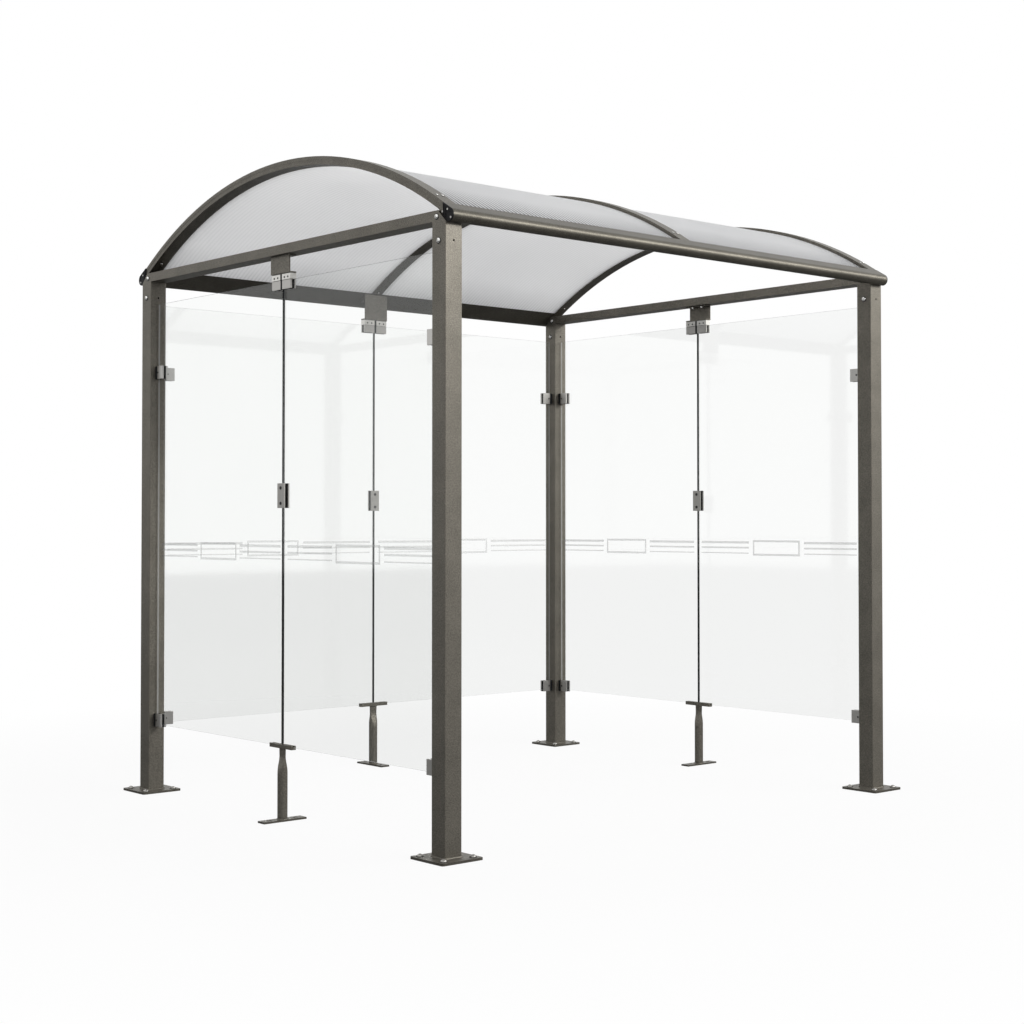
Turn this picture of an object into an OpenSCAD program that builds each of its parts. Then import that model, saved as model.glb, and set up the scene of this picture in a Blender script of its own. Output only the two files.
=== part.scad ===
// Bicycle shelter with a barrel vault roof on four square posts.
// The front is open and the two ends and the back are glazed.
// X runs along the vault, Y from the open front to the glazed back, Z up.
// The origin is the centre of the footprint on the ground.

/* [Overall] */
// Length over the outer faces of the posts
shelter_l = 2636; // [2000:1:4200]
// Depth over the outer faces of the posts
shelter_d = 2262; // [1800:1:3000]
// Height of the post tops above the ground
post_top = 2370; // [2000:1:2800]
// Rise of the vault crown above the post tops
crown_rise = 392; // [250:1:600]

/* [Posts] */
// Width of the square post section
post_w = 80; // [50:1:140]
// Wall thickness of the post section
post_wall = 4; // [2:0.5:8]
// Outer corner radius of the post section
post_r = 3; // [1:0.5:6]
// Side of the square base plate
plate_w = 196; // [140:1:260]
// Thickness of the base plate
plate_t = 10; // [6:1:20]
// Corner radius of the base plate
plate_r = 10; // [2:1:20]
// Spacing of the four anchor holes
anchor_pitch = 140; // [110:1:220]
// Diameter of the anchor holes
anchor_d = 14; // [9:1:22]
// Height of the post bolt hole below the post top
post_hole_drop = 74; // [40:1:160]
// Diameter of the post bolt hole
post_hole_d = 9; // [6:0.5:14]

/* [Roof frame] */
// Height of the tie beam section
beam_h = 40; // [30:1:80]
// Width of the tie beam section
beam_w = 80; // [40:1:100]
// Wall thickness of the tie beam section
beam_wall = 3; // [2:0.5:5]
// Width of the arch section
arch_w = 60; // [40:1:90]
// Depth of the arch section
arch_h = 34; // [26:1:60]
// Wall thickness of the arch section
arch_wall = 3; // [2:0.5:5]
// Width of the shallow line along the outer sides of the end arches
line_w = 3; // [1:0.5:6]
// Depth of the shallow line along the outer sides of the end arches
line_d = 1; // [0.5:0.1:2]
// Setback of the end arches from the outer post faces
arch_inset = 8; // [0:1:30]
// Height of the vault springing plane above the post tops
spring_rise = 54; // [40:1:90]
// Depth of the panel groove in the arch sides
groove_d = 18; // [8:1:24]
// Wall below the panel groove
groove_lip = 4; // [2:0.5:8]
// Setback of the upper eave flange from the outer post face
flange_in = 21; // [10:1:40]
// Setback of the lower eave lip from the outer post face
lip_in = 64; // [50:1:90]
// Radius of the eave nose
nose_r = 26; // [18:1:40]
// Distance of the eave nose centre outside the post face
nose_out = 14; // [5:1:30]
// Height of the eave nose centre above the post tops
nose_rise = 17; // [5:1:40]
// Wall thickness of the eave section
eave_wall = 3; // [2:0.5:5]
// Thickness of the black eave end caps
cap_t = 5; // [2:1:10]

/* [Roof panels] */
// Clearance of the panels and of the glass in their grooves
fit = 0.2; // [0.1:0.05:0.6]
// Thickness of the multiwall roof panel
panel_t = 16; // [6:1:25]

/* [Glazing] */
// Thickness of the glass panes
glass_t = 8; // [6:1:12]
// Height of the lower edge of the glass above the ground
glass_z = 312; // [150:1:500]
// Height of the glass panes
glass_h = 1953; // [1500:1:2300]
// Gap between the glass and the posts
glass_gap = 10; // [4:1:30]
// Width of the joint between two panes
joint_w = 8; // [4:1:14]

/* [Fittings] */
// Width of the hanger plates over the glass joints
hanger_w = 140; // [100:1:200]
// Thickness of the hanger plates
hanger_t = 5; // [3:1:8]
// Height of one top clip
top_clip_h = 66; // [40:1:90]
// Overall depth of every glass clip
clip_d = 30; // [22:1:40]
// Gap between the two top clips
top_clip_gap = 12; // [6:1:24]
// Height of the post clamps
clamp_h = 60; // [40:1:90]
// Reach of the post clamps from the post face
clamp_reach = 62; // [40:1:90]
// Height of the upper post clamp centre above the ground
clamp_hi = 1945; // [1500:1:2200]
// Height of the joint clamp
mid_clamp_h = 104; // [60:1:140]
// Width of the joint clamp
mid_clamp_w = 50; // [30:1:80]
// Thickness of each joint clamp plate
mid_clamp_t = 10; // [4:1:16]
// Height of the joint clamp centre above the ground
mid_clamp_z = 1360; // [900:1:1700]
// Depth of the glass that the clips cover
clip_bite = 38; // [20:1:50]

/* [Feet] */
// Length of the bar under the glass joint
foot_bar_l = 165; // [100:1:240]
// Width of the bar under the glass joint
foot_bar_w = 22; // [16:1:40]
// Height of the bar under the glass joint
foot_bar_h = 17; // [12:1:26]
// Depth of the glass edge inside the bar
foot_bite = 8; // [4:1:12]
// Diameter of the foot tube
foot_d = 42.4; // [30:0.1:60]
// Wall thickness of the foot tube
foot_wall = 3; // [2:0.5:5]
// Width of the pressed tube top along the glass
foot_flat_w = 60; // [44:1:64]
// Thickness of the pressed tube top
foot_flat_t = 8; // [6:1:20]
// Length of the pressed part of the tube
foot_press = 92; // [50:1:140]
// Length of the foot base strip
foot_base_l = 210; // [150:1:300]
// Width of the foot base strip
foot_base_w = 50; // [44:1:80]
// Thickness of the foot base strip
foot_base_t = 8; // [5:1:14]
// Spacing of the two foot slots
foot_slot_pitch = 130; // [90:1:200]
// Width of the foot slots
foot_slot_w = 13; // [8:1:18]
// Length of the foot slots
foot_slot_l = 26; // [14:1:40]

/* [Hidden] */
// Half sizes of the post ring and the post centres
hx = shelter_l / 2;
hy = shelter_d / 2;
px = hx - post_w / 2;
py = hy - post_w / 2;
// Vault circle through the springing line and the crown
vault_rise = crown_rise - spring_rise;
vault_r = (hy * hy + vault_rise * vault_rise) / (2 * vault_rise);
vault_z = post_top + crown_rise - vault_r;
arch_in = vault_r - arch_h;
panel_in = arch_in + groove_lip;
line_r = arch_in + arch_h / 2;
panel_out = panel_in + panel_t;
spring_a = asin(hy / vault_r);
// Eave nose centre, end of the upper flange and end of the lower lip
nose_y = hy + nose_out;
nose_z = post_top + nose_rise;
flange_y = hy - flange_in;
flange_z = vault_z + sqrt(vault_r * vault_r - flange_y * flange_y);
seat_z = vault_z + sqrt(panel_in * panel_in - flange_y * flange_y);
lip_y = hy - lip_in;
lip_z = vault_z + sqrt(panel_in * panel_in - lip_y * lip_y);
// Start and slope of the slanted eave wall
wall_a = 45;
wall_y = nose_y - nose_r * sin(wall_a);
wall_z = nose_z - nose_r * cos(wall_a);
wall_k = (lip_z - wall_z) / (wall_y - lip_y);
slot_y = hy - 5;
// Lengths along X of the eaves and of the roof bays
eave_x = hx - arch_inset;
bay_x0 = arch_w / 2 - groove_d + 2;
bay_x1 = eave_x - arch_w + groove_d - 2;
// Glass, clip and hanger heights
glass_top = glass_z + glass_h;
clip_top = glass_top - clip_bite + top_clip_h;
clip_low = glass_top - clip_bite;
clamp_lo = glass_z + clamp_h / 2 - 10;
top_clip_w = (hanger_w - top_clip_gap) / 2;
hang_in = clip_d / 2 + hanger_t;
// Foot heights
foot_top = glass_z + foot_bite;
bar_z = foot_top - foot_bar_h;
press_z = bar_z - foot_press;
over = 60;

module rounded_square(w, r) {
  union() {
    square([w - 2 * r, w], center = true);
    square([w, w - 2 * r], center = true);
    for (sx = [-1, 1]) {
      for (sy = [-1, 1]) {
        translate([sx * (w / 2 - r), sy * (w / 2 - r)]) circle(r = r, $fn = 32);
      }
    }
  }
}

module post(sx, sy) {
  // Square tube with a bolt hole on the left face and one on the front face
  color("DimGray")
  difference() {
    translate([sx * px, sy * py, plate_t])
    linear_extrude(height = post_top - plate_t) rounded_square(post_w, post_r);
    translate([sx * px, sy * py, 0])
    linear_extrude(height = post_top + 1)
    square(post_w - 2 * post_wall, center = true);
    translate([sx * px, sy * py, post_top - post_hole_drop])
    rotate([0, -90, 0])
    cylinder(d = post_hole_d, h = post_w, $fn = 32);
    translate([sx * px, sy * py, post_top - post_hole_drop])
    rotate([90, 0, 0])
    cylinder(d = post_hole_d, h = post_w, $fn = 32);
    // Notch under the eave nose
    mirror([0, sy < 0 ? 1 : 0, 0])
    along_x(-hx - over, hx + over)
    eave_outline();
  }
}

module base_plate(sx, sy) {
  color("DimGray")
  translate([sx * px, sy * py, 0])
  difference() {
    linear_extrude(height = plate_t) rounded_square(plate_w, plate_r);
    for (ax = [-1, 1]) {
      for (ay = [-1, 1]) {
        translate([ax * anchor_pitch / 2, ay * anchor_pitch / 2, -1])
        cylinder(d = anchor_d, h = plate_t + 2, $fn = 32);
      }
    }
  }
}

module along_x(x0, x1) {
  // Extrudes a Y-Z outline along X
  translate([x0, 0, 0])
  rotate([90, 0, 90])
  linear_extrude(height = x1 - x0)
  children();
}

module both_eaves() {
  children();
  mirror([0, 1, 0]) children();
}

module drum(r, x0, x1) {
  // Cylinder about the vault axis
  translate([x0, 0, vault_z])
  rotate([0, 90, 0])
  cylinder(r = r, h = x1 - x0, $fn = 180);
}

module drum_ring(r0, r1, x0, x1) {
  difference() {
    drum(r1, x0, x1);
    drum(r0, x0 - 1, x1 + 1);
  }
}

module slab(x0, x1, half) {
  // Block over the springing plane that keeps one arc of a drum
  translate([x0, -half, post_top - 30])
  cube([x1 - x0, 2 * half, crown_rise + 60]);
}

module eave_outline() {
  union() {
    translate([nose_y, nose_z]) circle(r = nose_r, $fn = 64);
    polygon([
      [nose_y + nose_r * sin(spring_a), nose_z + nose_r * cos(spring_a)],
      [flange_y, flange_z],
      [flange_y, seat_z],
      [lip_y, lip_z],
      [wall_y, wall_z],
      [nose_y, nose_z]
    ]);
  }
}

module eave_core() {
  // Hollow inside the eave section
  core_r = nose_r - eave_wall;
  core_y = flange_y + eave_wall;
  union() {
    translate([nose_y, nose_z]) circle(r = core_r, $fn = 64);
    polygon([
      [nose_y + core_r * sin(spring_a), nose_z + core_r * cos(spring_a)],
      [core_y, flange_z - eave_wall * (tan(spring_a) + 1 / cos(spring_a))],
      [core_y, wall_z + (wall_y - core_y) * wall_k + 1.45 * eave_wall],
      [nose_y - core_r * sin(wall_a), nose_z - core_r * cos(wall_a)],
      [nose_y, nose_z]
    ]);
  }
}

module eave_back() {
  color("DimGray")
  difference() {
    union() {
      difference() {
        along_x(-eave_x, eave_x) eave_outline();
        along_x(-eave_x - 1, eave_x + 1) eave_core();
      }
      intersection() {
        along_x(-eave_x, eave_x) eave_outline();
        drum_ring(panel_in - eave_wall, panel_out + eave_wall, -eave_x, eave_x);
        slab(-eave_x, eave_x, slot_y + eave_wall);
      }
    }
    intersection() {
      drum_ring(panel_in - fit, panel_out + fit, -eave_x - 1, eave_x + 1);
      slab(-eave_x - 1, eave_x + 1, slot_y + fit);
    }
  }
}

module eave_front() {
  mirror([0, 1, 0]) eave_back();
}

module eave_caps(sy) {
  // Black caps on both ends of one eave, outline without the lower lip
  color("Black")
  mirror([0, sy < 0 ? 1 : 0, 0])
  for (sx = [-1, 1]) {
    difference() {
      along_x(sx > 0 ? eave_x : -eave_x - cap_t, sx > 0 ? eave_x + cap_t : -eave_x)
      eave_outline();
      translate([-hx - over, flange_y - 200, post_top - 100])
      cube([shelter_l + 2 * over, 200, 300]);
    }
  }
}

module beam_end() {
  // Everything outside the slanted wall of the back eave
  along_x(-hx - over, hx + over)
  polygon([
    [lip_y, lip_z],
    [lip_y - 20, lip_z + 20 * wall_k],
    [hy + over, lip_z + 20 * wall_k],
    [hy + over, post_top - 5],
    [wall_y + (wall_z - post_top + 5) / wall_k, post_top - 5]
  ]);
}

module tie_beam(sx) {
  color("DimGray")
  difference() {
    translate([sx * px - beam_w / 2, -hy - over / 2, post_top])
    cube([beam_w, shelter_d + over, beam_h]);
    translate([sx * px - beam_w / 2 + beam_wall, -hy - over, post_top + beam_wall])
    cube([beam_w - 2 * beam_wall, shelter_d + 2 * over, beam_h - 2 * beam_wall]);
    both_eaves() beam_end();
  }
}

module arch(cx, open_l, open_r) {
  // Curved box section with a groove for each panel that meets it
  x0 = cx - arch_w / 2;
  x1 = cx + arch_w / 2;
  c0 = open_l ? x0 + groove_d + arch_wall : x0 + arch_wall;
  c1 = open_r ? x1 - groove_d - arch_wall : x1 - arch_wall;
  color("DimGray")
  difference() {
    intersection() {
      drum_ring(arch_in, vault_r, x0, x1);
      slab(x0, x1, flange_y);
    }
    drum_ring(arch_in + arch_wall, vault_r - arch_wall, c0, c1);
    if (open_l) drum_ring(panel_in - fit, panel_out + fit, x0 - 1, x0 + groove_d);
    if (open_r) drum_ring(panel_in - fit, panel_out + fit, x1 - groove_d, x1 + 1);
    // Shallow line along the closed side
    if (!open_l) drum_ring(line_r - line_w / 2, line_r + line_w / 2, x0 - 1, x0 + line_d);
    if (!open_r) drum_ring(line_r - line_w / 2, line_r + line_w / 2, x1 - line_d, x1 + 1);
    both_eaves() along_x(x0 - 1, x1 + 1) eave_outline();
  }
}

module arch_left() { arch(-eave_x + arch_w / 2, false, true); }
module arch_middle() { arch(0, true, true); }
module arch_right() { arch(eave_x - arch_w / 2, true, false); }

module roof_panel(sx) {
  color("LightSteelBlue")
  mirror([sx < 0 ? 1 : 0, 0, 0])
  intersection() {
    drum_ring(panel_in, panel_out, bay_x0, bay_x1);
    slab(bay_x0, bay_x1, slot_y);
  }
}

module pane_end(sx, sy) {
  // Pane in an end wall between a post and the joint
  w = hy - post_w - glass_gap - joint_w / 2;
  color("Azure")
  translate([sx * px - glass_t / 2, sy > 0 ? joint_w / 2 : -joint_w / 2 - w, glass_z])
  cube([glass_t, w, glass_h]);
}

module pane_back(sx) {
  w = hx - post_w - glass_gap - joint_w / 2;
  color("Azure")
  translate([sx > 0 ? joint_w / 2 : -joint_w / 2 - w, py - glass_t / 2, glass_z])
  cube([w, glass_t, glass_h]);
}

module at_joint(side) {
  // Frame at a glass joint, with the inside of the shelter towards +Y
  if (side == "left") translate([-px, 0, 0]) rotate([0, 0, -90]) children();
  if (side == "right") translate([px, 0, 0]) rotate([0, 0, 90]) children();
  if (side == "back") translate([0, py, 0]) rotate([0, 0, 180]) children();
}

module joint_seals() {
  color("Black")
  for (side = ["left", "back", "right"]) {
    at_joint(side)
    translate([-joint_w / 2 + fit, -glass_t / 2, foot_top + 1])
    cube([joint_w - 2 * fit, glass_t, glass_top - foot_top - 1]);
  }
}

module hanger_end(side) {
  // Channel under a tie beam, flanges towards the inside
  color("DimGray")
  at_joint(side)
  difference() {
    translate([-hanger_w / 2, -hang_in, clip_top])
    cube([hanger_w, hang_in + clip_d / 2, post_top - clip_top]);
    translate([-hanger_w / 2 - 1, -hang_in + hanger_t, clip_top + hanger_t])
    cube([hanger_w + 2, hang_in + clip_d, post_top - clip_top - 2 * hanger_t]);
  }
}

module hanger_back() {
  // Bent plate from the slanted eave wall down to the clips
  y0 = py - hang_in;
  y1 = y0 + hanger_t;
  y2 = py + clip_d / 2;
  t = 1.45 * hanger_t;
  color("DimGray")
  difference() {
    along_x(-hanger_w / 2, hanger_w / 2)
    polygon([
      [y0, clip_top],
      [y2, clip_top],
      [y2, clip_top + hanger_t],
      [y1, clip_top + hanger_t],
      [y1, wall_z + (wall_y - y1) * wall_k - t - fit],
      [y2, wall_z + (wall_y - y2) * wall_k - t - fit],
      [y2, wall_z + (wall_y - y2) * wall_k - fit],
      [y0, wall_z + (wall_y - y0) * wall_k - fit]
    ]);
    // The plate ends under the foot of the middle arch
    drum_ring(arch_in - fit, vault_r, -hanger_w / 2 - 1, hanger_w / 2 + 1);
  }
}

module top_clips(side) {
  // Two inverted channels over the upper glass corners
  color("Silver")
  at_joint(side)
  for (s = [-1, 1]) {
    translate([s * (top_clip_gap + top_clip_w) / 2, 0, 0])
    difference() {
      translate([-top_clip_w / 2, -clip_d / 2, clip_low])
      cube([top_clip_w, clip_d, top_clip_h]);
      translate([-top_clip_w / 2 - 1, -glass_t / 2 - fit, clip_low - 1])
      cube([top_clip_w + 2, glass_t + 2 * fit, clip_bite + 1 + fit]);
    }
  }
}

module post_clamps() {
  // Upper and lower clamp on a post face at the origin, glass towards +X
  color("Silver")
  for (z = [clamp_lo, clamp_hi]) {
    difference() {
      translate([0, -clip_d / 2, z - clamp_h / 2])
      cube([clamp_reach, clip_d, clamp_h]);
      if (z == clamp_lo)
        translate([glass_gap - fit, -glass_t / 2 - fit, glass_z - fit])
        cube([clamp_reach, glass_t + 2 * fit, clamp_h]);
      if (z == clamp_hi)
        translate([glass_gap - fit, -glass_t / 2 - fit, z - clamp_h / 2 - 1])
        cube([clamp_reach, glass_t + 2 * fit, clamp_h + 2]);
    }
  }
}

module joint_clamp(side) {
  // One plate on each face of the glass over the joint
  color("Silver")
  at_joint(side)
  for (s = [-1, 1]) {
    translate([0, s * (glass_t / 2 + fit + mid_clamp_t / 2), mid_clamp_z])
    cube([mid_clamp_w, mid_clamp_t, mid_clamp_h], center = true);
  }
}

module foot(side) {
  color("DimGray")
  at_joint(side)
  difference() {
    union() {
      // Base strip across the glass line
      translate([-foot_base_w / 2, -foot_base_l / 2, 0])
      cube([foot_base_w, foot_base_l, foot_base_t]);
      cylinder(d = foot_d, h = press_z, $fn = 48);
      // Pressed top of the tube, flat where it meets the bar
      hull() {
        translate([0, 0, press_z - 1]) cylinder(d = foot_d, h = 1, $fn = 32);
        translate([-foot_flat_w / 2, -foot_flat_t / 2, bar_z])
        cube([foot_flat_w, foot_flat_t, 1]);
      }
      translate([-foot_bar_l / 2, -foot_bar_w / 2, bar_z])
      cube([foot_bar_l, foot_bar_w, foot_bar_h]);
    }
    translate([0, 0, foot_base_t])
    cylinder(d = foot_d - 2 * foot_wall, h = press_z - foot_base_t, $fn = 48);
    translate([-foot_bar_l / 2 - 1, -glass_t / 2 - fit, glass_z - fit])
    cube([foot_bar_l + 2, glass_t + 2 * fit, foot_bar_h]);
    for (s = [-1, 1]) {
      translate([0, s * foot_slot_pitch / 2, -1]) foot_slot();
    }
  }
}

module foot_slot() {
  // Slot along the base strip
  run = foot_slot_l - foot_slot_w;
  union() {
    translate([0, -run / 2, 0]) cylinder(d = foot_slot_w, h = foot_base_t + 2, $fn = 32);
    translate([0, run / 2, 0]) cylinder(d = foot_slot_w, h = foot_base_t + 2, $fn = 32);
    translate([-foot_slot_w / 2, -run / 2, 0])
    cube([foot_slot_w, run, foot_base_t + 2]);
  }
}

module on_post(sx, sy, to_side) {
  // Frame at the centre line of a post face, glass towards +X
  if (to_side) translate([sx * px, sy * (hy - post_w), 0]) rotate([0, 0, -sy * 90]) children();
  if (!to_side) translate([sx * (hx - post_w), sy * py, 0]) rotate([0, 0, sx > 0 ? 180 : 0]) children();
}

module post_front_left() { post(-1, -1); }
module post_front_right() { post(1, -1); }
module post_back_left() { post(-1, 1); }
module post_back_right() { post(1, 1); }
module base_plate_front_left() { base_plate(-1, -1); }
module base_plate_front_right() { base_plate(1, -1); }
module base_plate_back_left() { base_plate(-1, 1); }
module base_plate_back_right() { base_plate(1, 1); }
module tie_beam_left() { tie_beam(-1); }
module tie_beam_right() { tie_beam(1); }
module roof_panel_left() { roof_panel(-1); }
module roof_panel_right() { roof_panel(1); }
module eave_caps_front() { eave_caps(-1); }
module eave_caps_back() { eave_caps(1); }
module glass_left_front() { pane_end(-1, -1); }
module glass_left_back() { pane_end(-1, 1); }
module glass_back_left() { pane_back(-1); }
module glass_back_right() { pane_back(1); }
module glass_right_back() { pane_end(1, 1); }
module glass_right_front() { pane_end(1, -1); }
module hanger_left() { hanger_end("left"); }
module hanger_right() { hanger_end("right"); }
module top_clips_left() { top_clips("left"); }
module top_clips_back() { top_clips("back"); }
module top_clips_right() { top_clips("right"); }
module post_clamps_left_front() { on_post(-1, -1, true) post_clamps(); }
module post_clamps_left_back() { on_post(-1, 1, true) post_clamps(); }
module post_clamps_back_left() { on_post(-1, 1, false) post_clamps(); }
module post_clamps_back_right() { on_post(1, 1, false) post_clamps(); }
module post_clamps_right_back() { on_post(1, 1, true) post_clamps(); }
module post_clamps_right_front() { on_post(1, -1, true) post_clamps(); }
module joint_clamp_left() { joint_clamp("left"); }
module joint_clamp_back() { joint_clamp("back"); }
module joint_clamp_right() { joint_clamp("right"); }
module foot_left() { foot("left"); }
module foot_back() { foot("back"); }
module foot_right() { foot("right"); }

post_front_left();
post_front_right();
post_back_left();
post_back_right();
base_plate_front_left();
base_plate_front_right();
base_plate_back_left();
base_plate_back_right();
tie_beam_left();
tie_beam_right();
arch_left();
arch_middle();
arch_right();
roof_panel_left();
roof_panel_right();
eave_front();
eave_back();
eave_caps_front();
eave_caps_back();
glass_left_front();
glass_left_back();
glass_back_left();
glass_back_right();
glass_right_back();
glass_right_front();
joint_seals();
hanger_left();
hanger_back();
hanger_right();
top_clips_left();
top_clips_back();
top_clips_right();
post_clamps_left_front();
post_clamps_left_back();
post_clamps_back_left();
post_clamps_back_right();
post_clamps_right_back();
post_clamps_right_front();
joint_clamp_left();
joint_clamp_back();
joint_clamp_right();
foot_left();
foot_back();
foot_right();
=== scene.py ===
import math

import bmesh
import bpy
from mathutils import Matrix, Vector


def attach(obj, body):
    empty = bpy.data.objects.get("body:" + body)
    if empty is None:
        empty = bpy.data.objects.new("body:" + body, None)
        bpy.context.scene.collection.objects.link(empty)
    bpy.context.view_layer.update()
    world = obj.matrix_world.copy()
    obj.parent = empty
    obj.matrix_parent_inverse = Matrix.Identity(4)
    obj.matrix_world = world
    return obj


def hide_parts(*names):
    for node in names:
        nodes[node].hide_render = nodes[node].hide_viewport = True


# The looks of a glazed bicycle shelter: materials, detailed pieces that replace
# plain CAD nodes, small hardware, and a plain studio. All lengths are in metres.
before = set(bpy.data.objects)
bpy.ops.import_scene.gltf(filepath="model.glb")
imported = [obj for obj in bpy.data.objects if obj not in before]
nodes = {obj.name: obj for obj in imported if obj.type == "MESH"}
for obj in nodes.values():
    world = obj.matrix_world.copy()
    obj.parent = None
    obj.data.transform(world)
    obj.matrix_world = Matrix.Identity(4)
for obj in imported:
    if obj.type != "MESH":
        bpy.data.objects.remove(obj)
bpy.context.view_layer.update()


# ------------------------------------------------------------- sizes in metres
def box_of(name):
    """Low and high corner of a CAD node."""
    points = [v.co for v in nodes[name].data.vertices]
    return [Vector([pick(axis) for axis in zip(*points)]) for pick in (min, max)]


post_lo, post_hi = box_of("post_front_right")
POST = post_hi.x - post_lo.x
HX, HY = post_hi.x, -post_lo.y          # half length and half depth over the posts
PX, PY = HX - POST / 2, HY - POST / 2   # post centres
PLATE_TOP, TOP = post_lo.z, post_hi.z

pane_lo, pane_hi = box_of("glass_right_front")
GLASS_Z, GLASS_TOP = pane_lo.z, pane_hi.z
PANE_HALF = (pane_hi.x - pane_lo.x) / 2
LIFT = 0.0002                           # liners stand this far off the glass

clips_lo, clips_hi = box_of("top_clips_back")
clamp_lo, clamp_hi = box_of("joint_clamp_back")
bar_half, foot_top = box_of("foot_back")[1].x, box_of("foot_back")[1].z

VAULT_R, VAULT_Z = 2.0613, 0.7007       # arches: outer radius, height of its centre
RIBS_PER_M = 47.85                      # inner walls of the roof sheet

SIDES = {
    "left": Matrix.Translation((-PX, 0, 0)) @ Matrix.Rotation(math.radians(-90), 4, "Z"),
    "right": Matrix.Translation((PX, 0, 0)) @ Matrix.Rotation(math.radians(90), 4, "Z"),
    "back": Matrix.Translation((0, PY, 0)) @ Matrix.Rotation(math.radians(180), 4, "Z"),
}


# ---------------------------------------------------------------- node helpers
def new_mat(name):
    m = bpy.data.materials.new(name)
    m.use_nodes = True
    nt = m.node_tree
    nt.nodes.clear()
    return m, nt


def node(nt, kind, **values):
    """New shader node; values go to its sockets, with _ for a space."""
    n = nt.nodes.new("ShaderNode" + kind)
    for key, value in values.items():
        n.inputs[key.replace("_", " ")].default_value = value
    return n


def math_node(nt, operation, *values):
    n = node(nt, "Math")
    n.operation = operation
    for socket, value in zip(n.inputs, values):
        if isinstance(value, (int, float)):
            socket.default_value = value
        else:
            nt.links.new(value, socket)
    return n.outputs[0]


def obj_coord(nt):
    return node(nt, "TexCoord").outputs["Object"]


def obj_axes(nt):
    """Object coordinates as separate X, Y and Z."""
    n = node(nt, "SeparateXYZ")
    nt.links.new(obj_coord(nt), n.inputs[0])
    return n.outputs


def noise(nt, scale, detail=2.0, rough=0.5, vec=None):
    n = node(nt, "TexNoise", Scale=scale, Detail=detail, Roughness=rough)
    nt.links.new(vec or obj_coord(nt), n.inputs["Vector"])
    return n.outputs["Fac"]


def ramp(nt, fac, stops):
    """Colour ramp through (position, colour) stops."""
    n = node(nt, "ValToRGB")
    while len(n.color_ramp.elements) < len(stops):
        n.color_ramp.elements.new(0.5)
    for element, (position, colour) in zip(n.color_ramp.elements, stops):
        element.position = position
        element.color = (*colour, 1)
    nt.links.new(fac, n.inputs["Fac"])
    return n.outputs["Color"]


def map_range(nt, value, source, target):
    n = node(nt, "MapRange", From_Min=source[0], From_Max=source[1], To_Min=target[0], To_Max=target[1])
    nt.links.new(value, n.inputs["Value"])
    return n.outputs[0]


def bump(nt, height, strength, dist):
    n = node(nt, "Bump", Strength=strength, Distance=dist)
    nt.links.new(height, n.inputs["Height"])
    return n.outputs["Normal"]


def mix_shader(nt, share, first, second):
    """Mix of two shader nodes; share is the second one's part."""
    n = node(nt, "MixShader")
    if isinstance(share, float):
        n.inputs[0].default_value = share
    else:
        nt.links.new(share, n.inputs[0])
    nt.links.new(first.outputs[0], n.inputs[1])
    nt.links.new(second.outputs[0], n.inputs[2])
    return n


def to_output(nt, shader, kind="OutputMaterial"):
    nt.links.new(shader.outputs[0], node(nt, kind).inputs[0])


def shade(tint, factor):
    return [c * factor for c in tint]


# ------------------------------------------------------------------- materials
def paint(name, tint, metal):
    """Metallic powder coat with a fine fleck, darker right above the ground."""
    m, nt = new_mat(name)
    p = node(nt, "BsdfPrincipled", Metallic=metal, Specular_IOR_Level=0.10)
    grain = noise(nt, 900, 2, 0.6)
    fleck = noise(nt, 230, 2, 0.7)
    cloud = noise(nt, 9, 3, 0.5)
    soft = math_node(nt, "MULTIPLY_ADD", fleck, 0.56, math_node(nt, "MULTIPLY", cloud, 0.14))
    mixed = math_node(nt, "MULTIPLY_ADD", grain, 0.30, soft)
    colour = ramp(nt, mixed, [(0.38, shade(tint, 0.62)), (0.5, tint), (0.62, shade(tint, 1.42))])
    ground = map_range(nt, obj_axes(nt)["Z"], (0.012, 0.020), (0.74, 1.0))
    scaled = node(nt, "VectorMath")
    scaled.operation = "SCALE"
    nt.links.new(colour, scaled.inputs[0])
    nt.links.new(ground, scaled.inputs["Scale"])
    nt.links.new(scaled.outputs[0], p.inputs["Base Color"])
    nt.links.new(math_node(nt, "MULTIPLY_ADD", grain, 0.16, 0.34), p.inputs["Roughness"])
    nt.links.new(bump(nt, grain, 0.25, 0.0004), p.inputs["Normal"])
    to_output(nt, p)
    return m


def steel(name, tint, rough=0.26):
    """Brushed stainless steel, with the grain along Z."""
    m, nt = new_mat(name)
    p = node(nt, "BsdfPrincipled", Metallic=1.0)
    stretch = node(nt, "Mapping", Scale=(1, 1, 22))
    nt.links.new(obj_coord(nt), stretch.inputs["Vector"])
    grain = noise(nt, 120, 3, 0.6, stretch.outputs[0])
    nt.links.new(ramp(nt, grain, [(0.3, shade(tint, 0.9)), (0.7, tint)]), p.inputs["Base Color"])
    nt.links.new(math_node(nt, "MULTIPLY_ADD", grain, 0.14, rough), p.inputs["Roughness"])
    nt.links.new(bump(nt, grain, 0.08, 0.0003), p.inputs["Normal"])
    to_output(nt, p)
    return m


def dull(name, tint, rough, gloss=0.15):
    """Plain dark plastic, rubber or bare metal, and the near-black painted shade inside the post tubes."""
    m, nt = new_mat(name)
    p = node(nt, "BsdfPrincipled", Specular_IOR_Level=gloss)
    grain = noise(nt, 500, 3, 0.6)
    colour = ramp(nt, grain, [(0.3, shade(tint, 0.7)), (0.7, shade(tint, 1.25))])
    nt.links.new(colour, p.inputs["Base Color"])
    nt.links.new(math_node(nt, "MULTIPLY_ADD", grain, 0.15, rough), p.inputs["Roughness"])
    nt.links.new(bump(nt, grain, 0.15, 0.0003), p.inputs["Normal"])
    to_output(nt, p)
    return m


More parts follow.
